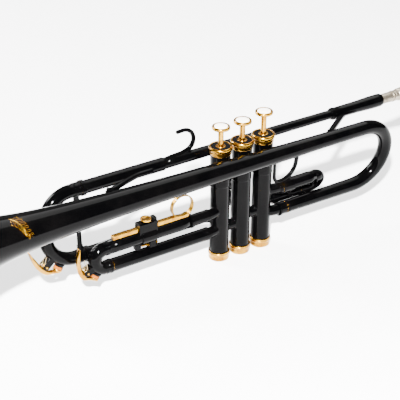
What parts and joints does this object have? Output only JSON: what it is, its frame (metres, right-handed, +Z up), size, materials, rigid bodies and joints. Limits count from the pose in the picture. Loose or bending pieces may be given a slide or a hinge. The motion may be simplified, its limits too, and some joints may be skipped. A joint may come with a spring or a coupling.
{
  "type": "trumpet",
  "caption": "Valve trumpet with flared bell, sprung pistons, pull-out slides, water keys, finger ring and removable mouthpiece, standing upright on its bottom valve caps.",
  "frame": {"origin": "centre of the underside of the middle valve's bottom cap, on the surface the trumpet stands on", "axes": "+X towards the mouthpiece, -X towards the bell mouth, +Y towards the leadpipe side, +Z up along the pistons"},
  "size_m": [0.5702, 0.124, 0.1675],
  "materials": {
    "black_lacquer": "gloss",
    "gold_trim": "polished",
    "cap_insert": "satin",
    "pearl": "gloss",
    "nickel_piston": "satin",
    "spring_wire": "satin",
    "key_spring": "satin",
    "key_cork": "matte",
    "slide_leg": "polished",
    "silver_plate": "worn"
  },
  "bodies": {
    "horn": {"valve_casings": "black_lacquer", "casing_sleeves": "black_lacquer", "bottom_caps": "gold_trim", "top_caps": "gold_trim", "cap_inserts": "cap_insert", "valve_knuckles": "black_lacquer", "port_elbows": "black_lacquer", "casing_pads": "black_lacquer", "bell": "black_lacquer", "bell_rim_wire": "black_lacquer", "bell_bow": "black_lacquer", "tube_rings": "black_lacquer", "leadpipe": "black_lacquer", "mouthpiece_receiver": "black_lacquer", "tuning_fixed_tubes": "black_lacquer", "front_brace": "black_lacquer", "rear_brace": "black_lacquer", "pinky_hook": "black_lacquer", "third_fixed_tubes": "black_lacquer", "first_fixed_tubes": "black_lacquer", "second_fixed_tubes": "black_lacquer", "stop_screw": "gold_trim", "valve_spring_1": "spring_wire", "valve_spring_2": "spring_wire", "valve_spring_3": "spring_wire"},
    "valve_1": {"piston_1": "nickel_piston", "button_1": "gold_trim", "pearl_1": "pearl"},
    "valve_2": {"piston_2": "nickel_piston", "button_2": "gold_trim", "pearl_2": "pearl"},
    "valve_3": {"piston_3": "nickel_piston", "button_3": "gold_trim", "pearl_3": "pearl"},
    "tuning_slide": {"tuning_legs": "slide_leg", "tuning_crook": "black_lacquer", "tuning_stay": "black_lacquer", "tuning_key_seat": "black_lacquer", "tuning_key_spring": "key_spring"},
    "tuning_key": {"tuning_key_lever": "gold_trim", "tuning_key_cork": "key_cork"},
    "third_slide": {"third_sliding_tube": "black_lacquer", "third_crook": "black_lacquer", "third_key_seat": "black_lacquer", "third_key_spring": "key_spring", "bar_saddle": "black_lacquer"},
    "third_key": {"third_key_lever": "gold_trim", "third_key_cork": "key_cork"},
    "ring_bar": {"ring_bar": "gold_trim", "finger_ring": "gold_trim"},
    "thumb_screw": {"thumb_screw": "gold_trim"},
    "first_slide": {"first_sliding_tube": "black_lacquer", "first_crook": "black_lacquer", "thumb_hook": "black_lacquer"},
    "second_slide": {"second_slide": "black_lacquer"},
    "mouthpiece": {"mouthpiece": "silver_plate"}
  },
  "joints": [
    {"name": "valve_1_press", "type": "slide", "parent": "horn", "child": "valve_1", "axis": [0, 0, -1], "range_m": [0, 0.0165], "stiffness_N_per_m": 110, "springref_m": -0.035, "deforming": ["valve_spring_1"]},
    {"name": "valve_2_press", "type": "slide", "parent": "horn", "child": "valve_2", "axis": [0, 0, -1], "range_m": [0, 0.0165], "stiffness_N_per_m": 110, "springref_m": -0.035, "deforming": ["valve_spring_2"]},
    {"name": "valve_3_press", "type": "slide", "parent": "horn", "child": "valve_3", "axis": [0, 0, -1], "range_m": [0, 0.0165], "stiffness_N_per_m": 110, "springref_m": -0.035, "deforming": ["valve_spring_3"]},
    {"name": "tuning_slide_pull", "type": "slide", "parent": "horn", "child": "tuning_slide", "axis": [-1, 0, 0], "range_m": [0, 0.04]},
    {"name": "tuning_key_press", "type": "hinge", "parent": "tuning_slide", "child": "tuning_key", "pos_m": [-0.2065, 0.0115, 0.045], "axis": [0, 1, 0], "range_deg": [0, 14], "stiffness_Nm_per_rad": 0.03, "springref_deg": -34.38},
    {"name": "third_slide_pull", "type": "slide", "parent": "horn", "child": "third_slide", "axis": [-1, 0, 0], "range_m": [0, 0.02]},
    {"name": "third_key_press", "type": "hinge", "parent": "third_slide", "child": "third_key", "pos_m": [-0.1733, -0.004, 0.0354], "axis": [0, 1, 0], "range_deg": [0, 14], "stiffness_Nm_per_rad": 0.03, "springref_deg": -34.38},
    {"name": "ring_bar_shift", "type": "slide", "parent": "third_slide", "child": "ring_bar", "axis": [1, 0, 0], "range_m": [-0.01, 0.01]},
    {"name": "thumb_screw_turn", "type": "hinge", "parent": "third_slide", "child": "thumb_screw", "pos_m": [-0.1095, -0.004, 0.065], "axis": [0, 0, 1], "continuous": true},
    {"name": "first_slide_pull", "type": "slide", "parent": "horn", "child": "first_slide", "axis": [1, 0, 0], "range_m": [0, 0.018]},
    {"name": "second_slide_pull", "type": "slide", "parent": "horn", "child": "second_slide", "axis": [0, 1, 0], "range_m": [0, 0.008]},
    {"name": "mouthpiece_pull", "type": "slide", "parent": "horn", "child": "mouthpiece", "axis": [1, 0, 0], "range_m": [0, 0.024]}
  ]
}
